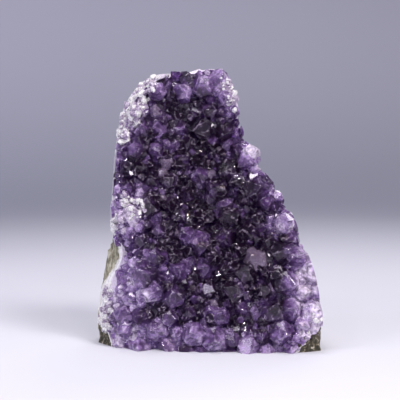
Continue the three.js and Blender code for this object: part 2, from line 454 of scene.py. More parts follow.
def bowl_and_lumps(x, z):
    """The face that the crystals stand on, without its swell at the foot."""
    hollow = BOWL_DEPTH * bell(x - middle(z) - 3, 19) * bell(z - 56.5, 37)
    lean = FACE_AT_FOOT + FACE_LEAN * z
    return lean + hollow - mounds(x, z, LUMPS) + 0.9 * ripple(x, z)


def crystal_roots(x, z):
    """The same with the swell."""
    rise, height = FOOT_SWELL
    return bowl_and_lumps(x, z) - rise * bell(z, height)


def amethyst_depth(x, z):
    """How far back the amethyst goes where the band behind it is whole."""
    thickness = MASSIVE_AMETHYST + mounds(x, z, THICK_AMETHYST) + 0.5 * ripple(z, x)
    return bowl_and_lumps(x, z) + thickness


def uneven(x, z):
    """The small bends of the white band, larger at the right end of the foot."""
    by_the_foot = 3.2 * bell(np.hypot(x - 38, z - 7), 9) * ripple(5.3 * x, 4.7 * z)
    return 0.7 * ripple(3.1 * x, 2.7 * z) + 0.45 * ripple(6.3 * z, 5.9 * x) + by_the_foot


def rock_front(x, z):
    lining = QUARTZ_THICKNESS + uneven(x, z)
    return amethyst_depth(x, z) + lining - mounds(x, z, ROCK_PUSHES)


def quartz_front(x, z):
    return np.minimum(amethyst_depth(x, z), rock_front(x, z) - THINNEST_LAYER)


def rock_skin(x, z):
    """The back of the stone, without its roughness."""
    across = np.abs(x - middle(z)) / half_width(z)
    flatter = 1 - 0.6 * smoothstep(z, 50, 100)
    rounding = 14 * flatter * np.minimum(across, 1.15) ** 3
    return FOOT_DEPTH - 0.09 * z - rounding + 1.1 * ripple(1.3 * x, 1.2 * z)


def rough_skin(x, z):
    """The rind: rock_skin with lumps, and pits where gas bubbles were."""
    rough = np.empty_like(x)
    for i in np.ndindex(x.shape):
        at = Vector((x[i], z[i], 0))
        lump = noise.fractal(at * 0.09, 0.9, 2.1, 5)
        cells = noise.voronoi(at * 0.22)[0]
        rough[i] = 2.1 * lump - 2.4 * max(0, 0.34 - cells[0])
    return rock_skin(x, z) + rough


def plain_piece(name, made, material, node):
    """A finished piece that stands for a CAD node."""
    made.name = made.data.name = name
    made.data.materials.clear()
    made.data.materials.append(material)
    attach(made, "root")
    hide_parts(node)
    return made


def weather(mesh, deepest):
    """Wears the rock back unevenly, all but its foot."""
    mesh.update()
    for vertex, normal in zip(mesh.vertices, [n.vector.copy() for n in mesh.vertex_normals]):
        if vertex.co.z > 0.4 * MM:
            at = vertex.co / MM
            grooves = noise.fractal(Vector((at.x, at.y, 0.3 * at.z)) * 0.35, 0.8, 2.1, 4)
            lumps = noise.fractal(at * 0.5, 0.8, 2.1, 3)
            worn_back = min(max(0.5 + 0.8 * grooves + 0.4 * lumps, 0), 1)
            vertex.co -= deepest * MM * worn_back * normal


def below_lump(x, z):
    """Keeps rock and band under the crystals on top of the right lump."""
    return -LUMP_STANDS_OUT * smoothstep(mounds(x, z, LUMP_TOPS[1:]), 0.35, 0.65)


# High up the rock lies a little inside the cut of the harder quartz.
rock_saw = saw_cuts(lambda x, z: below_lump(x, z) - ROCK_INSET * smoothstep(z, 38, 55))
rock_block = block_between(
    "rock_block",
    lambda x, z: rock_front(x, z) - CONTACT,
    rough_skin,
    ROCK_STEP,
)
rock = joined("rock", "INTERSECT", rock_block, rock_saw)
weather(rock.data, DEEPEST_WEAR)
discard(rock_block, rock_saw)


def maths(tree, operation, *values, clamp=False):
    settings = {"operation": operation, "use_clamp": clamp}
    return add_node(tree, "ShaderNodeMath", settings, dict(enumerate(values))).outputs[0]


def product(tree, first, second):
    return maths(tree, "MULTIPLY", first, second)


def scaled(tree, place, scale):
    """Object coordinates, stretched."""
    return add_node(tree, "ShaderNodeMapping", Vector=place, Scale=scale).outputs["Vector"]


def noise_of(tree, place, scale, detail=2, roughness=0.5):
    made = add_node(
        tree, "ShaderNodeTexNoise", Vector=place, Scale=scale, Detail=detail, Roughness=roughness
    )
    return made.outputs["Fac"]


def attribute(tree, name):
    return add_node(tree, "ShaderNodeAttribute", {"attribute_name": name}).outputs["Fac"]


def bumped(tree, height, strength, depth):
    """A surface's normal with relief on it."""
    made = add_node(tree, "ShaderNodeBump", Height=height, Strength=strength, Distance=depth)
    return made.outputs[0]


rock_material, tree, shader = new_material("basalt")
place = object_place(tree)
grain = noise_of(tree, place, 700, 5, 0.65)
patches = noise_of(tree, place, 110, 4, 0.6)
streaks = noise_of(tree, scaled(tree, place, (1, 1, 0.3)), 420, 4, 0.6)
stone = ramp_of(
    tree,
    maths(tree, "ADD", product(tree, grain, 0.55), product(tree, streaks, 0.45)),
    (0.3, (0.035, 0.03, 0.024)),
    (0.45, (0.13, 0.115, 0.08)),
    (0.55, (0.27, 0.245, 0.18)),
    (0.7, (0.52, 0.49, 0.42)),
)
bloom = mapped(tree, patches, 0.5, 0.62, 0, 0.55)
stone = mixed(tree, bloom, stone, (0.16, 0.19, 0.11, 1))
rust = mapped(tree, noise_of(tree, place, 38, 5, 0.6), 0.5, 0.62, 0, 0.6)
stone = mixed(tree, rust, stone, (0.24, 0.15, 0.08, 1))
bleached = noise_of(tree, scaled(tree, place, (1.3, 1, 1)), 30, 5, 0.6)
bleached = mapped(tree, bleached, 0.52, 0.66, 0, 0.5)
stone = mixed(tree, bleached, stone, (0.42, 0.41, 0.34, 1))
amygdales = add_node(tree, "ShaderNodeTexVoronoi", Vector=place, Scale=300, Randomness=1)
filled = mapped(tree, amygdales.outputs["Distance"], 0.14, 0.26, 0.85, 0)
chosen = add_node(tree, "ShaderNodeSeparateColor", Color=amygdales.outputs["Color"])
chosen = mapped(tree, chosen.outputs["Red"], 0.62, 0.7, 0, 1)
chosen = product(tree, chosen, mapped(tree, patches, 0.42, 0.58, 0.1, 1))
stone = mixed(tree, product(tree, filled, chosen), stone, (0.6, 0.6, 0.52, 1))
ground_flat = attribute(tree, "sawn")
grooves = noise_of(tree, scaled(tree, place, (1, 1, 0.38)), 700, 5, 0.65)
grooved = ramp_of(
    tree,
    grooves,
    (0.4, (0.06, 0.05, 0.035)),
    (0.47, (0.22, 0.2, 0.14)),
    (0.54, (0.46, 0.43, 0.33)),
    (0.62, (0.66, 0.63, 0.54)),
)
stone = mixed(tree, product(tree, ground_flat, 0.6), stone, grooved)
# In patches, and low at the front, it is darker and blotched with zeolite.
where = add_node(tree, "ShaderNodeSeparateXYZ", Vector=place)
blotches = noise_of(tree, place, 480, 6, 0.72)
low_stone = ramp_of(
    tree,
    blotches,
    (0.44, (0.01, 0.008, 0.005)),
    (0.52, (0.04, 0.032, 0.02)),
    (0.58, (0.18, 0.15, 0.1)),
    (0.65, (0.7, 0.66, 0.58)),
)
low_front = product(
    tree,
    mapped(tree, where.outputs["Z"], 0.006, 0.018, 1, 0),
    mapped(tree, where.outputs["Y"], -0.014, 0.004, 1, 0),
)
darker = noise_of(tree, place, 65, 4, 0.6)
darker = mapped(tree, maths(tree, "ADD", darker, low_front), 0.55, 0.75, 0, 0.9)
stone = mixed(tree, darker, stone, low_stone)
relief = maths(tree, "ADD", streaks, product(tree, grain, 0.6))
relief = product(tree, relief, mapped(tree, ground_flat, 0, 1, 1, 0.8))
give(
    tree,
    shader,
    Base_Color=stone,
    Roughness=mapped(tree, grain, 0.3, 0.7, 0.95, 0.7),
    Normal=bumped(tree, relief, 0.9, 0.0006),
)
plain_piece("host_rock_stone", rock, rock_material, "host_rock")

# ---- Quartz band ----
# Milky quartz and agate, in thin layers, that lined the cavity before the amethyst grew. It is
# the white line between rock and crystals, and was sawn with them.
BAND_STEP = 1.2
band_block = block_between("band_block", quartz_front, rock_front, BAND_STEP)
band_saw = saw_cuts(below_lump)
band = joined("band", "INTERSECT", band_block, band_saw)
discard(band_block, band_saw)


def vectors_of(items, key):
    """A row of three numbers for each vertex or face."""
    values = np.empty(3 * len(items))
    items.foreach_get(key, values)
    return values.reshape(-1, 3)


def mark_points(mesh, name, formula):
    """Stores a number at each vertex, from its place in millimetres."""
    x, y, z = vectors_of(mesh.vertices, "co").T / MM
    mark(mesh, name, "FLOAT", np.broadcast_to(formula(x, y, z), x.shape), "POINT")


mark_points(
    band.data,
    "layer",
    lambda x, y, z: (y - quartz_front(x, z)) / (rock_front(x, z) - quartz_front(x, z)),
)
band_material, tree, shader = new_material("milky_quartz")
place = object_place(tree)
layer = attribute(tree, "layer")
wobble = noise_of(tree, place, 160, 3)
layer = maths(tree, "ADD", layer, mapped(tree, wobble, 0.3, 0.7, -0.16, 0.16))
bands = ramp_of(
    tree,
    layer,
    (0, (0.66, 0.57, 0.74)),
    (0.15, (0.84, 0.81, 0.86)),
    (0.38, (0.9, 0.88, 0.9)),
    (0.5, (0.64, 0.61, 0.66)),
    (0.6, (0.86, 0.84, 0.86)),
    (0.78, (0.8, 0.78, 0.78)),
    (0.9, (0.58, 0.57, 0.54)),
    (1, (0.8, 0.78, 0.72)),
)
specks = noise_of(tree, place, 1400, 3, 0.6)
bands = mixed(tree, mapped(tree, specks, 0.52, 0.66, 0, 0.6), bands, (0.4, 0.35, 0.37, 1))
stains = noise_of(tree, place, 300, 4, 0.65)
bands = mixed(tree, mapped(tree, stains, 0.5, 0.68, 0, 0.6), bands, (0.46, 0.4, 0.46, 1))
give(
    tree,
    shader,
    Base_Color=bands,
    Roughness=mapped(tree, specks, 0.3, 0.7, 0.22, 0.5),
    Normal=bumped(tree, specks, 0.4, 0.0002),
    Subsurface_Weight=0.15,
    Subsurface_Radius=(0.002, 0.0018, 0.0022),
)
plain_piece("quartz_band_stone", band, band_material, "quartz_band")

# ---- Amethyst crystals ----
# Quartz crystals grown side by side out of a massive layer: hexagonal prisms, each ended by
# three large rhombohedral faces and three small ones. They are one joined, see-through body.
CRYSTAL_TOP = 112
CRYSTAL_PITCH = 8.3
CRYSTAL_JITTER = 0.3
SMALLEST_CRYSTAL = 3.2
LARGEST_CRYSTAL = 5.8
CRYSTAL_LEAN = 0.62
CRYSTAL_RISE = (-0.6, 2.4)  # of the shoulders, out of the roots
CRYSTAL_MARGIN = 1.2  # how far outside the outline they may root
FINE_CORNER = (-34, 96, 20, 1)
CRYSTAL_KINDS = 20
CRYSTAL_SEED = 23
KIND_SEED = 5
PRISM_TAPER = 0.9
PRISM_ENDS = (-2, 2.2)
# How far from the axis a tip's three large faces and three small ones are.
LARGE_FACES = (0.88, 1.04)
SMALL_FACES = (1.04, 1.24)
EDGE_BEVEL = 0.05  # of the apothem
SHARP_BELOW = -1.6  # the part in the ground, without bevels
RHOMB_ANGLE = math.radians(51.8)
SAWN_INSET = 0.05
PULLED_BACK = 3.6  # the crystals' shoulders, from where the saw once went, at the front
VISIBLE_SHARE = 0.92  # of a crystal's apothem
# Crystals that stand out on their own: x, z, axis, apothem.
LONE_CRYSTALS = [(16.6, 77.4, (0.45, -0.8, 0.4), 3.3)]
LONE_RISE = 2.5  # of their shoulders, out of the roots
LONE_SPIN = 0.6
# How far crystals stand out past the cut: at the left and the top, where the white band shows
# along the rim, on the lumps, at the right, and at the lower left.
RIM_OVERGROWTH = (0.5, -1.4)  # lower down, and at the top
LUMP_OVERGROWTH = 1
RIGHT_OVERGROWTH = 0.5
LOW_OVERGROWTH = 2
FRONT_RELIEF = 6  # and at the front
MASSIVE_INSET = 1.5  # how far the layer under them lies inside it
# Small crystals in parallel growth with each large one, in shares of its apothem.
SATELLITES = 3
SATELLITE_LEVEL = (-1.1, -0.1)
SATELLITE_REACH = (0.6, 1.05)
SATELLITE_SIZE = (0.3, 0.55)
# Small crystals that fill the gaps, with their rise in shares of their own apothem.
FILL_SPACING = 2.3
SMALLEST_FILL = 1.1
LARGEST_FILL = 2.5
FILL_LEAN = 0.4
FILL_RISE = (-0.8, 0.5)
MASSIVE_STEP = 1.6
MASSIVE_OVERLAP = 3  # of the layer with the quartz, before that is cut away
MASSIVE_FOOT = 0.03
CUTTER_FOOT = -2
QUARTZ_IOR = 1.55


def random_stream(seed):
    """The same stream of numbers as the solids', so that the same crystals grow."""
    mask = 0xFFFFFFFF
    state = seed
    while True:
        state = (state + 0x6D2B79F5) & mask
        t = ((state ^ (state >> 15)) * (1 | state)) & mask
        t = ((t + (((t ^ (t >> 7)) * (61 | t)) & mask)) & mask) ^ t
        yield (t ^ (t >> 14)) / 4294967296


def quartz_crystal(name, draw, bevel):
    """One crystal along +Z of its own frame, with an apothem of 1 and its shoulder at 0."""
    bm = bmesh.new()
    prism = bmesh.ops.create_cone(
        bm,
        cap_ends=True,
        segments=6,
        radius1=PRISM_TAPER / math.cos(math.pi / 6),
        radius2=1 / math.cos(math.pi / 6),
        depth=PRISM_ENDS[1] - PRISM_ENDS[0],
    )
    bmesh.ops.translate(bm, verts=prism["verts"], vec=(0, 0, sum(PRISM_ENDS) / 2))
    for face in range(6):
        turn = face * math.pi / 3 + math.pi / 6
        away = Vector((math.sin(turn), math.cos(turn), 0)) * math.sin(RHOMB_ANGLE)
        away.z = math.cos(RHOMB_ANGLE)
        share = mix(*(SMALL_FACES if face % 2 else LARGE_FACES), draw())
        cut = bmesh.ops.bisect_plane(
            bm,
            geom=bm.verts[:] + bm.edges[:] + bm.faces[:],
            dist=1e-6,
            plane_co=away * math.sin(RHOMB_ANGLE) * share,
            plane_no=away,
            clear_outer=True,
        )
        rim = [e for e in cut["geom_cut"] if isinstance(e, bmesh.types.BMEdge)]
        if rim:
            bmesh.ops.edgenet_fill(bm, edges=rim)
    bmesh.ops.remove_doubles(bm, verts=bm.verts, dist=1e-5)
    bmesh.ops.dissolve_limit(
        bm, angle_limit=0.01, verts=bm.verts, edges=bm.edges, use_dissolve_boundaries=True
    )
    # Bevel faces are marked. The amethyst paints them pale, partly as frosted wear and partly as a
    # painted highlight where edges catch the light.
    rubbed_and_lit_edge = bm.faces.layers.float.new("rubbed_and_lit_edge")
    if bevel:
        rounded = bmesh.ops.bevel(
            bm,
            geom=[e for e in bm.edges if max(v.co.z for v in e.verts) > SHARP_BELOW],
            offset=bevel,
            segments=1,
            affect="EDGES",
            profile=0.5,
            clamp_overlap=True,
        )
        for face in rounded["faces"]:
            face[rubbed_and_lit_edge] = 1
    bmesh.ops.recalc_face_normals(bm, faces=bm.faces)
    mesh = bpy.data.meshes.new(name)
    bm.to_mesh(mesh)
    bm.free()
    mark(mesh, "facet", "FLOAT", [draw() for _ in mesh.polygons])
    mark(mesh, "tint", "FLOAT", [draw()] * len(mesh.polygons))
    return bpy.data.objects.new(name, mesh)


def left_side(z):
    """Where the outline's left side is."""
    edge = outline_points()
    left = edge[edge[:, 0] < middle(edge[:, 1])]
    left = left[np.argsort(left[:, 1])]
    return np.interp(z, left[:, 1], left[:, 0])


def ground_face(x, z):
    """How far forward the stone reaches, behind the front cut and the slant at the left."""
    slant = left_slant(z) * smoothstep(-x, 4, 22)
    slanted = GROUND_LEAN * z - (x - left_side(z)) / np.maximum(slant, 0.02)
    return np.maximum(front_cut(x, z), slanted)


def druse_front(x, z):
    """The roots of the crystals, kept behind the ground face."""
    return np.maximum(crystal_roots(x, z), ground_face(x, z) + PULLED_BACK)


def massive_front(x, z):
    """The front of the massive layer, ahead of the white band."""
    return np.minimum(druse_front(x, z), quartz_front(x, z) - THINNEST_LAYER)


def growth_direction(x, z, draw):
    """Out of the face, with a lean, and outwards at the right edge."""
    step = 1.5
    slope_x = (druse_front(x + step, z) - druse_front(x - step, z)) / (2 * step)
    slope_z = (druse_front(x, z + step) - druse_front(x, z - step)) / (2 * step)
    slope_x = np.clip(slope_x, -1.4, 1.4)
    edge = half_width(z)
    over_right = 0.5 * smoothstep(x - middle(z), 0.6 * edge, edge)
    lean_x = CRYSTAL_LEAN * (draw() - 0.5)
    lean_z = CRYSTAL_LEAN * (draw() - 0.5)
    return Vector((slope_x + over_right + lean_x, -1, slope_z + lean_z)).normalized()


def inside_outline(x, z, margin):
    """Whether a place is in the outline, or closer to it than the margin."""
    edge = outline_points(COARSE_STEPS)
    before = np.roll(edge, 1, 0)
    near = np.hypot(edge[:, 0] - x, edge[:, 1] - z).min() < margin
    crosses = (edge[:, 1] > z) != (before[:, 1] > z)
    share = (z - edge[:, 1]) / np.where(crosses, before[:, 1] - edge[:, 1], 1)
    crossings = crosses & (x < mix(edge[:, 0], before[:, 0], share))
    return near or crossings.sum() % 2 == 1


def primary_crystals():
    """Place, axis, spin and apothem of each of the solids' crystals."""
    draw = random_stream(CRYSTAL_SEED).__next__
    row_pitch = CRYSTAL_PITCH * math.sin(math.pi / 3)
    grown = []
    row = 0
    while row * row_pitch < CRYSTAL_TOP:
        x = -BLOCK_HALF_WIDTH + (CRYSTAL_PITCH / 2 if row % 2 else 0)
        while x < BLOCK_HALF_WIDTH:
            at_x = x + CRYSTAL_PITCH * CRYSTAL_JITTER * (2 * draw() - 1)
            at_z = row * row_pitch + CRYSTAL_PITCH * CRYSTAL_JITTER * (2 * draw() - 1)
            if inside_outline(at_x, at_z, CRYSTAL_MARGIN):
                fine = mounds(at_x, at_z, [FINE_CORNER])
                largest = mix(LARGEST_CRYSTAL, SMALLEST_CRYSTAL, fine)
                apothem = mix(SMALLEST_CRYSTAL, largest, draw() ** 1.3)
                rise = mix(*CRYSTAL_RISE, draw())
                along = growth_direction(at_x, at_z, draw)
                spin = 2 * math.pi * draw()
                # The solids draw six numbers here, for the faces of the tip.
                for _ in range(6):
                    draw()
                shoulder = Vector((at_x, druse_front(at_x, at_z), at_z)) + rise * along
                grown.append((shoulder, along, spin, VISIBLE_SHARE * apothem))
            x += CRYSTAL_PITCH
        row += 1
    return grown


def kinds_of(name, count, seed, bevel):
    """A collection of crystals, each a little different."""
    made = bpy.data.collections.new(f"{name}_kinds")
    draw = random_stream(seed).__next__
    for i in range(count):
        made.objects.link(quartz_crystal(f"{name}_{i:02}", draw, bevel))
    return made


crystal_kinds = kinds_of("crystal", CRYSTAL_KINDS, KIND_SEED, EDGE_BEVEL)
grown = primary_crystals()
for at_x, at_z, along, size in LONE_CRYSTALS:
    shoulder = Vector((at_x, crystal_roots(at_x, at_z) - LONE_RISE, at_z))
    grown.append((shoulder, Vector(along).normalized(), LONE_SPIN, size))
seeds = object_from("crystal_seeds", [p * MM for p, *_ in grown], [])
mark(seeds.data, "along", "FLOAT_VECTOR", [list(a) for _, a, _, _ in grown], "POINT")
mark(seeds.data, "spin", "FLOAT", [s for _, _, s, _ in grown], "POINT")
mark(seeds.data, "apothem", "FLOAT", [a * MM for *_, a in grown], "POINT")
mark(seeds.data, "kind", "INT", [i % CRYSTAL_KINDS for i in range(len(grown))], "POINT")


def grower(name, **inputs):
    """A tree that grows one mesh on another, with the names and kinds of its inputs."""
    tree = bpy.data.node_groups.new(name, "GeometryNodeTree")
    for way in ("INPUT", "OUTPUT"):
        tree.interface.new_socket("Geometry", in_out=way, socket_type="NodeSocketGeometry")
    for key, kind in inputs.items():
        label = key.replace("_", " ")
        tree.interface.new_socket(label, in_out="INPUT", socket_type=f"NodeSocket{kind}")
    return tree, add_node(tree, "NodeGroupInput").outputs


def solid(tree, source):
    return add_node(tree, "GeometryNodeObjectInfo", Object=source).outputs["Geometry"]


def together(tree, *parts):
    made = add_node(tree, "GeometryNodeJoinGeometry")
    for part in parts:
        tree.links.new(part, made.inputs[0])
    return made.outputs[0]


def named(tree, name, kind):
    settings = {"data_type": kind}
    made = add_node(tree, "GeometryNodeInputNamedAttribute", settings, Name=name)
    return made.outputs["Attribute"]


def stored(tree, points, name, kind, value):
    settings = {"data_type": kind, "domain": "POINT"}
    inputs = {"Geometry": points, "Name": name, "Value": value}
    return add_node(tree, "GeometryNodeStoreNamedAttribute", settings, **inputs).outputs[0]


def chance(tree, low, high, seed, kind="FLOAT"):
    """A random value between two others, each a value or a socket."""
    at = ("FLOAT_VECTOR", "FLOAT", "INT").index(kind)
    bounds = {2 * at: low, 2 * at + 1: high}
    made = add_node(tree, "FunctionNodeRandomValue", {"data_type": kind}, bounds, Seed=seed)
    return made.outputs[at]


def vector_maths(tree, operation, *values, **inputs):
    numbered = dict(enumerate(values))
    made = add_node(tree, "ShaderNodeVectorMath", {"operation": operation}, numbered, **inputs)
    return made.outputs["Vector"]


def moved(tree, points, along, distance):
    offset = vector_maths(tree, "SCALE", along, Scale=distance)
    return add_node(tree, "GeometryNodeSetPosition", Geometry=points, Offset=offset).outputs[0]


def scattered(tree, ground, **inputs):
    """Points on a ground's faces, none of them too close to another."""
    kind = "GeometryNodeDistributePointsOnFaces"
    return add_node(tree, kind, {"distribute_method": "POISSON"}, Mesh=ground, **inputs).outputs


def leaning(tree, normal, reach, seed):
    """A direction out of the ground, bent at random."""
    bend = chance(tree, (-reach,) * 3, (reach,) * 3, seed, "FLOAT_VECTOR")
    return vector_maths(tree, "ADD", normal, bend)


def pointed(tree, along):
    """The turn that stands a crystal along a direction."""
    made = add_node(tree, "FunctionNodeAlignRotationToVector", {"axis": "Z"}, Vector=along)
    return made.outputs[0]


def planted(tree, points, kinds, **inputs):
    """One crystal of a collection on each point."""
    crystals = add_node(
        tree,
        "GeometryNodeCollectionInfo",
        Collection=kinds,
        Separate_Children=True,
        Reset_Children=True,
    )
    placed = add_node(
        tree,
        "GeometryNodeInstanceOnPoints",
        Points=points,
        Instance=crystals.outputs["Instances"],
        Pick_Instance=True,
        **inputs,
    )
    return placed.outputs["Instances"]


def carved(tree, operation, *meshes):
    """Meshes joined, shared or cut; the first of a difference is what the others cut."""
    settings = {"operation": operation, "solver": "MANIFOLD"}
    made = add_node(tree, "GeometryNodeMeshBoolean", settings)
    for i, mesh in enumerate(meshes):
        first = operation == "DIFFERENCE" and i == 0
        tree.links.new(mesh, made.inputs["Mesh 1" if first else "Mesh 2"])
    return made.outputs["Mesh"]


def finished(tree, made, material):
    real = add_node(tree, "GeometryNodeRealizeInstances", Geometry=made).outputs[0]
    coated = add_node(tree, "GeometryNodeSetMaterial", Geometry=real, Material=material)
    add_node(tree, "NodeGroupOutput", Geometry=coated.outputs[0])
    return tree


def druse_tree():
    """Grows crystals on the massive layer, joins them, and cuts away what the saw took.

    The points given are the large crystals. Each has satellites in parallel growth, and
    smaller crystals fill the gaps between them.
    """
    tree, given = grower(
        "druse",
        Crystals="Collection",
        Massive="Object",
        Behind="Object",
        Saw="Object",
        Satellites="Int",
        Fill_Spacing="Float",
        Smallest_Fill="Float",
        Largest_Fill="Float",
        Material="Material",
    )
    massive = solid(tree, given["Massive"])
    along = named(tree, "along", "FLOAT_VECTOR")
    apothem = named(tree, "apothem", "FLOAT")
    spin = named(tree, "spin", "FLOAT")
    spun = add_node(tree, "FunctionNodeAxisAngleToRotation", Axis=(0, 0, 1), Angle=spin)
    turned = add_node(
        tree,
        "FunctionNodeRotateRotation",
        {"rotation_space": "LOCAL"},
        Rotation=pointed(tree, along),
        Rotate_By=spun.outputs[0],
    ).outputs[0]

    # Satellites: beside the large crystal, lower, and turned the same way.
    copies = add_node(
        tree,
        "GeometryNodeDuplicateElements",
        {"domain": "POINT"},
        Geometry=given["Geometry"],
        Amount=given["Satellites"],
    ).outputs[0]
    around = chance(tree, 0, 2 * math.pi, 1)
    beside = add_node(
        tree,
        "ShaderNodeCombineXYZ",
        X=maths(tree, "COSINE", around),
        Y=maths(tree, "SINE", around),
        Z=chance(tree, *SATELLITE_LEVEL, 2),
    ).outputs[0]
    sideways = add_node(tree, "FunctionNodeRotateVector", Vector=beside, Rotation=turned)
    reach = product(tree, apothem, chance(tree, *SATELLITE_REACH, 3))
    satellites = moved(tree, copies, sideways.outputs[0], reach)
    share = product(tree, apothem, chance(tree, *SATELLITE_SIZE, 4))
    satellites = stored(tree, satellites, "apothem", "FLOAT", share)
    which = chance(tree, 0, CRYSTAL_KINDS - 1, 5, "INT")
    satellites = stored(tree, satellites, "kind", "INT", which)

    # Fill: small crystals on the massive layer, leaning every way.
    spots = scattered(
        tree,
        massive,
        Selection=named(tree, "growing", "BOOLEAN"),
        Distance_Min=given["Fill Spacing"],
        Density_Max=1e6,
        Seed=6,
    )
    lean = vector_maths(tree, "NORMALIZE", leaning(tree, spots["Normal"], FILL_LEAN, 7))
    fill = stored(tree, spots["Points"], "along", "FLOAT_VECTOR", lean)
    fill = stored(tree, fill, "spin", "FLOAT", chance(tree, 0, 2 * math.pi, 8))
    size = chance(tree, given["Smallest Fill"], given["Largest Fill"], 9)
    fill = stored(tree, fill, "apothem", "FLOAT", size)
    which = chance(tree, 0, CRYSTAL_KINDS - 1, 10, "INT")
    fill = stored(tree, fill, "kind", "INT", which)
    proud = product(tree, apothem, chance(tree, *FILL_RISE, 11))
    fill = moved(tree, fill, along, proud)

    crystals = planted(
        tree,
        together(tree, given["Geometry"], satellites, fill),
        given["Crystals"],
        Instance_Index=named(tree, "kind", "INT"),
        Rotation=turned,
        Scale=apothem,
    )
    mass = carved(tree, "UNION", massive, crystals)
    freed = carved(tree, "DIFFERENCE", mass, solid(tree, given["Behind"]))
    sawn = carved(tree, "INTERSECT", freed, solid(tree, given["Saw"]))
    return finished(tree, sawn, given["Material"])


def grown_by(name, tree, ground, **values):
    """A plain object that a tree grows on another, with the tree's inputs by name."""
    modifier = ground.modifiers.new("growth", "NODES")
    modifier.node_group = tree
    names = {
        item.name: item.identifier
        for item in tree.interface.items_tree
        if item.item_type == "SOCKET" and item.in_out == "INPUT"
    }
    for key, value in values.items():
        modifier[names[key.replace("_", " ")]] = value
    seen = bpy.context.evaluated_depsgraph_get()
    mesh = bpy.data.meshes.new_from_object(ground.evaluated_get(seen))
    ground.modifiers.remove(modifier)
    made = bpy.data.objects.new(name, mesh)
    scene.collection.objects.link(made)
    return made


# How pale the stone is painted: 0 in the dark middle, which is painted shade, and up to 1 at the
# rims and along the foot, where painted light stands in for light that comes through the thin
# crystals and up from the floor, and on patches that are lavender or milky.
PALE_AND_LIT_PLACES = [
    (-37, 22, 14, 0.7), (-34, 60, 9, 0.45), (17, 78, 4, 0.7), (-14, 104, 8, 0.1),
    (3, 104, 8, 0.2), (36, 16, 9, 0.35), (-33, 92, 9, 0.7), (-37, 80, 6, 0.5), (-34, 50, 7, 0.75),
    (-24, 6, 8, 0.25), (11, 99.5, 4.5, 1), (22, 18, 9, 0.22), (-33, 52, 7, 0.4), (-33, 26, 9, 0.15),
]  # fmt: skip


def pale_and_lit_share(x, z):
    edge = outline_points(COARSE_STEPS)
    right = edge[(edge[:, 0] > -0.07 * edge[:, 1] + 4) & (edge[:, 1] > 0)]
    reach = np.full_like(x, 99.0)
    for at_x, at_z in right:
        reach = np.minimum(reach, np.hypot(x - at_x, z - at_z))
    # Painted light along the right rim, strongest low down. Along the foot the paleness is partly
    # painted light and partly the paler massive layer.
    lit_right_rim = (1 - smoothstep(reach, 1, 15)) * mix(1.35, 0.4, smoothstep(z, 26, 46))
    pale_and_lit_foot = mix(0.52, 0.34, smoothstep(x, -25, -5)) * (1 - smoothstep(z, 6, 13))
    return np.clip(mounds(x, z, PALE_AND_LIT_PLACES) + np.maximum(lit_right_rim, pale_and_lit_foot), 0, 1)


def larger(tree, first, second):
    return maths(tree, "MAXIMUM", first, second)


def bent(tree, place, source, scale, reach):
    """Coordinates that wander from their source by up to a reach."""
    waves = add_node(tree, "ShaderNodeTexNoise", Vector=place, Scale=scale, Detail=2)
    return vector_maths(tree, "MULTIPLY_ADD", waves.outputs["Color"], (reach,) * 3, source)


def to_edges(tree, place, scale):
    """How far it is to the edge between two random cells."""
    settings = {"feature": "DISTANCE_TO_EDGE"}
    made = add_node(tree, "ShaderNodeTexVoronoi", settings, Vector=place, Scale=scale)
    return made.outputs["Distance"]


amethyst_material, tree, shader = new_material("amethyst")
place = object_place(tree)
pale_and_lit, rubbed_and_lit_edge, sawn, tint, facet = (
    attribute(tree, key) for key in ("pale_and_lit", "rubbed_and_lit_edge", "sawn", "tint", "facet")
)
clouds = noise_of(tree, place, 170, 3)
veils = noise_of(tree, place, 620, 3, 0.6)
# The body colour follows it: darker in the painted shade of the middle and lighter where light is
# painted at the rims, varied by clouds and by each crystal's tint.
lightness = maths(tree, "ADD", pale_and_lit, mapped(tree, clouds, 0.3, 0.7, -0.3, 0.28))
lightness = maths(tree, "ADD", lightness, mapped(tree, tint, 0.3, 1, -0.1, 0.4), clamp=True)
body = ramp_of(
    tree,
    lightness,
    (0, (0.11, 0.05, 0.13)),
    (0.35, (0.26, 0.125, 0.42)),
    (0.7, (0.54, 0.36, 0.75)),
    (1, (0.87, 0.74, 0.95)),
)
patchy = mapped(tree, noise_of(tree, place, 90, 2), 0.42, 0.6, 0.25, 1)
# Pale bevel edges: partly frosted wear, partly a painted highlight of edges catching the light.
wear_and_sheen = product(tree, rubbed_and_lit_edge, mapped(tree, veils, 0.4, 0.65, 0, 0.75))
wear_and_sheen = product(tree, wear_and_sheen, patchy)

# Healed cracks and veils in the crystals, as thin pale lines.
crack = to_edges(tree, bent(tree, place, place, 330, 0.005), 270)
crack = mapped(tree, crack, 0, 0.06, 1, 0)
crack = product(tree, crack, mapped(tree, veils, 0.47, 0.6, 0, 0.7))
wear_and_sheen = larger(tree, wear_and_sheen, crack)
colour = mixed(tree, wear_and_sheen, body, (0.84, 0.73, 0.91, 1))
# A few crystals in the dark middle are smoky.
smoky = mapped(tree, tint, 0.97, 0.98, 0, 1)
smoky = product(tree, smoky, mapped(tree, pale_and_lit, 0.1, 0.4, 0.55, 0))
colour = mixed(tree, smoky, colour, (0.3, 0.25, 0.26, 1))

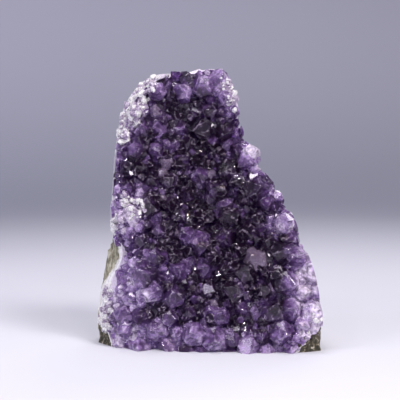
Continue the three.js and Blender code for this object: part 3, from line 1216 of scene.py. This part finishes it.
# Where the saw went through crystals, each shows as a cell with a pale rim and a violet core.
section = bent(tree, place, scaled(tree, place, (1, 0.3, 1)), 240, 0.004)
cells = add_node(tree, "ShaderNodeTexVoronoi", Vector=section, Scale=250)
core = ramp_of(
    tree,
    cells.outputs["Color"],
    (0.15, (0.1, 0.035, 0.23)),
    (0.45, (0.2, 0.085, 0.38)),
    (0.7, (0.36, 0.2, 0.54)),
    (0.95, (0.6, 0.46, 0.7)),
)
rim = mapped(tree, to_edges(tree, section, 250), 0.01, 0.12, 1, 0)
rim = product(tree, rim, mapped(tree, clouds, 0.35, 0.6, 0.2, 0.85))
cut_face = mixed(tree, rim, core, (0.66, 0.55, 0.76, 1))
cut_face = mixed(tree, mapped(tree, veils, 0.42, 0.7, 0, 0.7), cut_face, (0.5, 0.37, 0.62, 1))
# Towards the quartz band the cut crystals turn milky.
rooted = mapped(tree, attribute(tree, "rootward"), 0.5, 0.95, 1, 0)
height = add_node(tree, "ShaderNodeSeparateXYZ", Vector=place).outputs["Z"]
rooted = product(tree, rooted, mapped(tree, height, 0.02, 0.06, 0, 1))
cut_face = mixed(tree, rooted, cut_face, (0.86, 0.82, 0.88, 1))

# Less light goes through where the stone is milky, and also where it is painted pale as light at
# the rims and as sheen on the edges, so that the painted colour shows.
milkiness_and_painted_light = mapped(tree, lightness, 0, 1, 0.07, 0.6)
milkiness_and_painted_light = product(tree, milkiness_and_painted_light, mapped(tree, veils, 0.35, 0.65, 0.4, 1.5))
for share, most in ((wear_and_sheen, 0.8), (smoky, 0.7), (sawn, 0.55)):
    milkiness_and_painted_light = larger(tree, milkiness_and_painted_light, product(tree, share, most))
frost = mapped(tree, facet, 0, 1, 0.3, 1)
frost = product(tree, frost, mapped(tree, veils, 0.35, 0.7, 0.04, 0.35))
growth_lines = noise_of(tree, place, 900, 2, 0.5)
give(
    tree,
    shader,
    Base_Color=mixed(tree, sawn, colour, cut_face),
    Transmission_Weight=maths(tree, "SUBTRACT", 1, milkiness_and_painted_light, clamp=True),
    Roughness=larger(tree, frost, product(tree, sawn, 0.3)),
    Normal=bumped(tree, growth_lines, 0.3, 0.00012),
    IOR=QUARTZ_IOR,
    Specular_Tint=(0.95, 0.87, 1, 1),
)
violet = (0.42, 0.11, 0.62, 1)
absorption = add_node(tree, "ShaderNodeVolumeAbsorption", Color=violet, Density=300)
give(tree, tree.nodes["Material Output"], Volume=absorption.outputs[0])

massive_block = block_between(
    "massive_block",
    massive_front,
    lambda x, z: quartz_front(x, z) + MASSIVE_OVERLAP,
    MASSIVE_STEP,
    MASSIVE_FOOT,
)
inner_saw = saw_cuts(lambda x, z: np.full_like(x, -MASSIVE_INSET))
massive = joined("massive", "INTERSECT", massive_block, inner_saw)
# Small crystals grow on its front and sides, but not on its foot.
faces = massive.data.polygons
away = vectors_of(faces, "normal")
levels = vectors_of(faces, "center")[:, 2] / MM
growing = (away[:, 1] < 0.2) & (np.abs(away[:, 2]) < 0.8) & (levels > 0.3)
mark(massive.data, "growing", "BOOLEAN", growing)
behind = block_between(
    "behind",
    lambda x, z: quartz_front(x, z) + CONTACT,
    far_back,
    MASSIVE_STEP,
    CUTTER_FOOT,
)


def overgrowth(x, z):
    """How far the crystals stand out past the cut round the stone."""
    low_left = smoothstep(-x, 10, 20) * (1 - smoothstep(z, 40, 60))
    rim = mix(*RIM_OVERGROWTH, smoothstep(z, 80, 88))
    rim = mix(rim, LUMP_OVERGROWTH, smoothstep(mounds(x, z, LUMP_TOPS), 0.3, 0.6))
    side = mix(rim, RIGHT_OVERGROWTH, smoothstep(x, 4, 8))
    return mix(-SAWN_INSET, mix(side, LOW_OVERGROWTH, low_left), smoothstep(z, 1, 6))


def crystal_reach(x, z):
    """Crystals stand out past the front cut, but not over the bare rock at the foot's ends."""
    covered = smoothstep(rock_front(x, z) - front_cut(x, z), 0, 3)
    return front_cut(x, z) - FRONT_RELIEF * covered - SAWN_INSET


amethyst_saw = saw_cuts(overgrowth, crystal_reach)
druse = grown_by(
    "amethyst_druse",
    druse_tree(),
    seeds,
    Crystals=crystal_kinds,
    Massive=massive,
    Behind=behind,
    Saw=amethyst_saw,
    Satellites=SATELLITES,
    Fill_Spacing=FILL_SPACING * MM,
    Smallest_Fill=SMALLEST_FILL * MM,
    Largest_Fill=LARGEST_FILL * MM,
    Material=amethyst_material,
)
mark_points(druse.data, "pale_and_lit", lambda x, y, z: pale_and_lit_share(x, z))
mark_points(
    druse.data, "rootward", lambda x, y, z: (quartz_front(x, z) - y) / MASSIVE_AMETHYST
)
plain_piece("amethyst_druse", druse, amethyst_material, "amethyst_crystals")

# ---- Milky crystals ----
# A crust of small colourless to milky quartz crystals, like coarse sugar, that grew last, on
# the rims of the stone and on a patch at its left.
MILKY_SPACING = 0.78
SMALLEST_MILKY = 0.4
LARGEST_MILKY = 1.3
MILKY_KINDS = 8
MILKY_SEED = 9
MILKY_LEAN = 0.6
FACING_FRONT = -0.3  # they grow on faces whose normal's Y is less
# Each patch: where it is, its width, and how thickly it is crusted.
MILKY_PLACES = [
    (-37, 85, 4.5, 0.8), (-33.5, 92, 6, 1.1), (-28.5, 100, 5, 1.1), (-23.5, 106, 2.6, 0.9),
    (-33.5, 58.5, 2.3, 1), (-31, 55.5, 2.4, 1), (-28, 53, 2, 0.8), (-37.5, 48, 3.6, 1),
    (-41, 21, 3, 0.7), (-41.5, 14, 3, 0.8), (-42, 8, 3, 0.8), (7.5, 104, 3.5, 1),
    (10, 97, 3.5, 1), (14, 87, 2.5, 0.6), (40, 14.5, 3.6, 0.9), (33, 62, 2.5, 0.6),
]  # fmt: skip


def crust(x, y, z):
    """How thickly the crystals stand, which is nothing towards the back."""
    thick = mounds(x, z, MILKY_PLACES)
    limit = mix(2, -4, smoothstep(z, 30, 50))
    thick = thick * (1 - smoothstep(y - GROUND_LEAN * z - limit, -3, 1))
    return np.clip(1.8 * thick - 0.5, 0, 1)


def crust_tree():
    """Scatters small crystals over a ground, as thickly as its milky attribute says."""
    tree, given = grower(
        "crust",
        Crystals="Collection",
        Second_Ground="Object",
        Third_Ground="Object",
        Spacing="Float",
        Smallest="Float",
        Largest="Float",
        Material="Material",
    )
    others = [solid(tree, given[key]) for key in ("Second Ground", "Third Ground")]
    normal = add_node(tree, "GeometryNodeInputNormal").outputs[0]
    forwards = add_node(
        tree,
        "FunctionNodeCompare",
        {"data_type": "FLOAT", "operation": "LESS_THAN"},
        A=add_node(tree, "ShaderNodeSeparateXYZ", Vector=normal).outputs["Y"],
        B=FACING_FRONT,
    )
    spots = scattered(
        tree,
        together(tree, given["Geometry"], *others),
        Selection=forwards.outputs["Result"],
        Distance_Min=given["Spacing"],
        Density_Max=3e6,
        Density_Factor=named(tree, "milky", "FLOAT"),
        Seed=21,
    )
    crystals = planted(
        tree,
        spots["Points"],
        given["Crystals"],
        Rotation=pointed(tree, leaning(tree, spots["Normal"], MILKY_LEAN, 22)),
        Scale=chance(tree, given["Smallest"], given["Largest"], 23),
    )
    return finished(tree, crystals, given["Material"])


milky_material, tree, shader = new_material("milky_crystal")
place = object_place(tree)
tint = attribute(tree, "tint")
frosting = noise_of(tree, place, 900, 3, 0.6)
milk = mapped(tree, frosting, 0.3, 0.7, -0.25, 0.25)
milk = ramp_of(
    tree,
    maths(tree, "ADD", tint, milk, clamp=True),
    (0, (0.26, 0.18, 0.34)),
    (0.3, (0.52, 0.43, 0.58)),
    (0.65, (0.76, 0.71, 0.79)),
    (1, (0.92, 0.9, 0.92)),
)
give(
    tree,
    shader,
    Base_Color=milk,
    Roughness=mapped(tree, frosting, 0.35, 0.7, 0.08, 0.45),
    IOR=QUARTZ_IOR,
    Transmission_Weight=0.3,
)

for ground in (druse, band, rock):
    mark_points(ground.data, "milky", crust)
milky = grown_by(
    "milky_crystals",
    crust_tree(),
    druse,
    Crystals=kinds_of("milky", MILKY_KINDS, MILKY_SEED, 0),
    Second_Ground=band,
    Third_Ground=rock,
    Spacing=MILKY_SPACING * MM,
    Smallest=SMALLEST_MILKY * MM,
    Largest=LARGEST_MILKY * MM,
    Material=milky_material,
)
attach(milky, "root")
discard(seeds, massive_block, massive, inner_saw, behind, amethyst_saw)
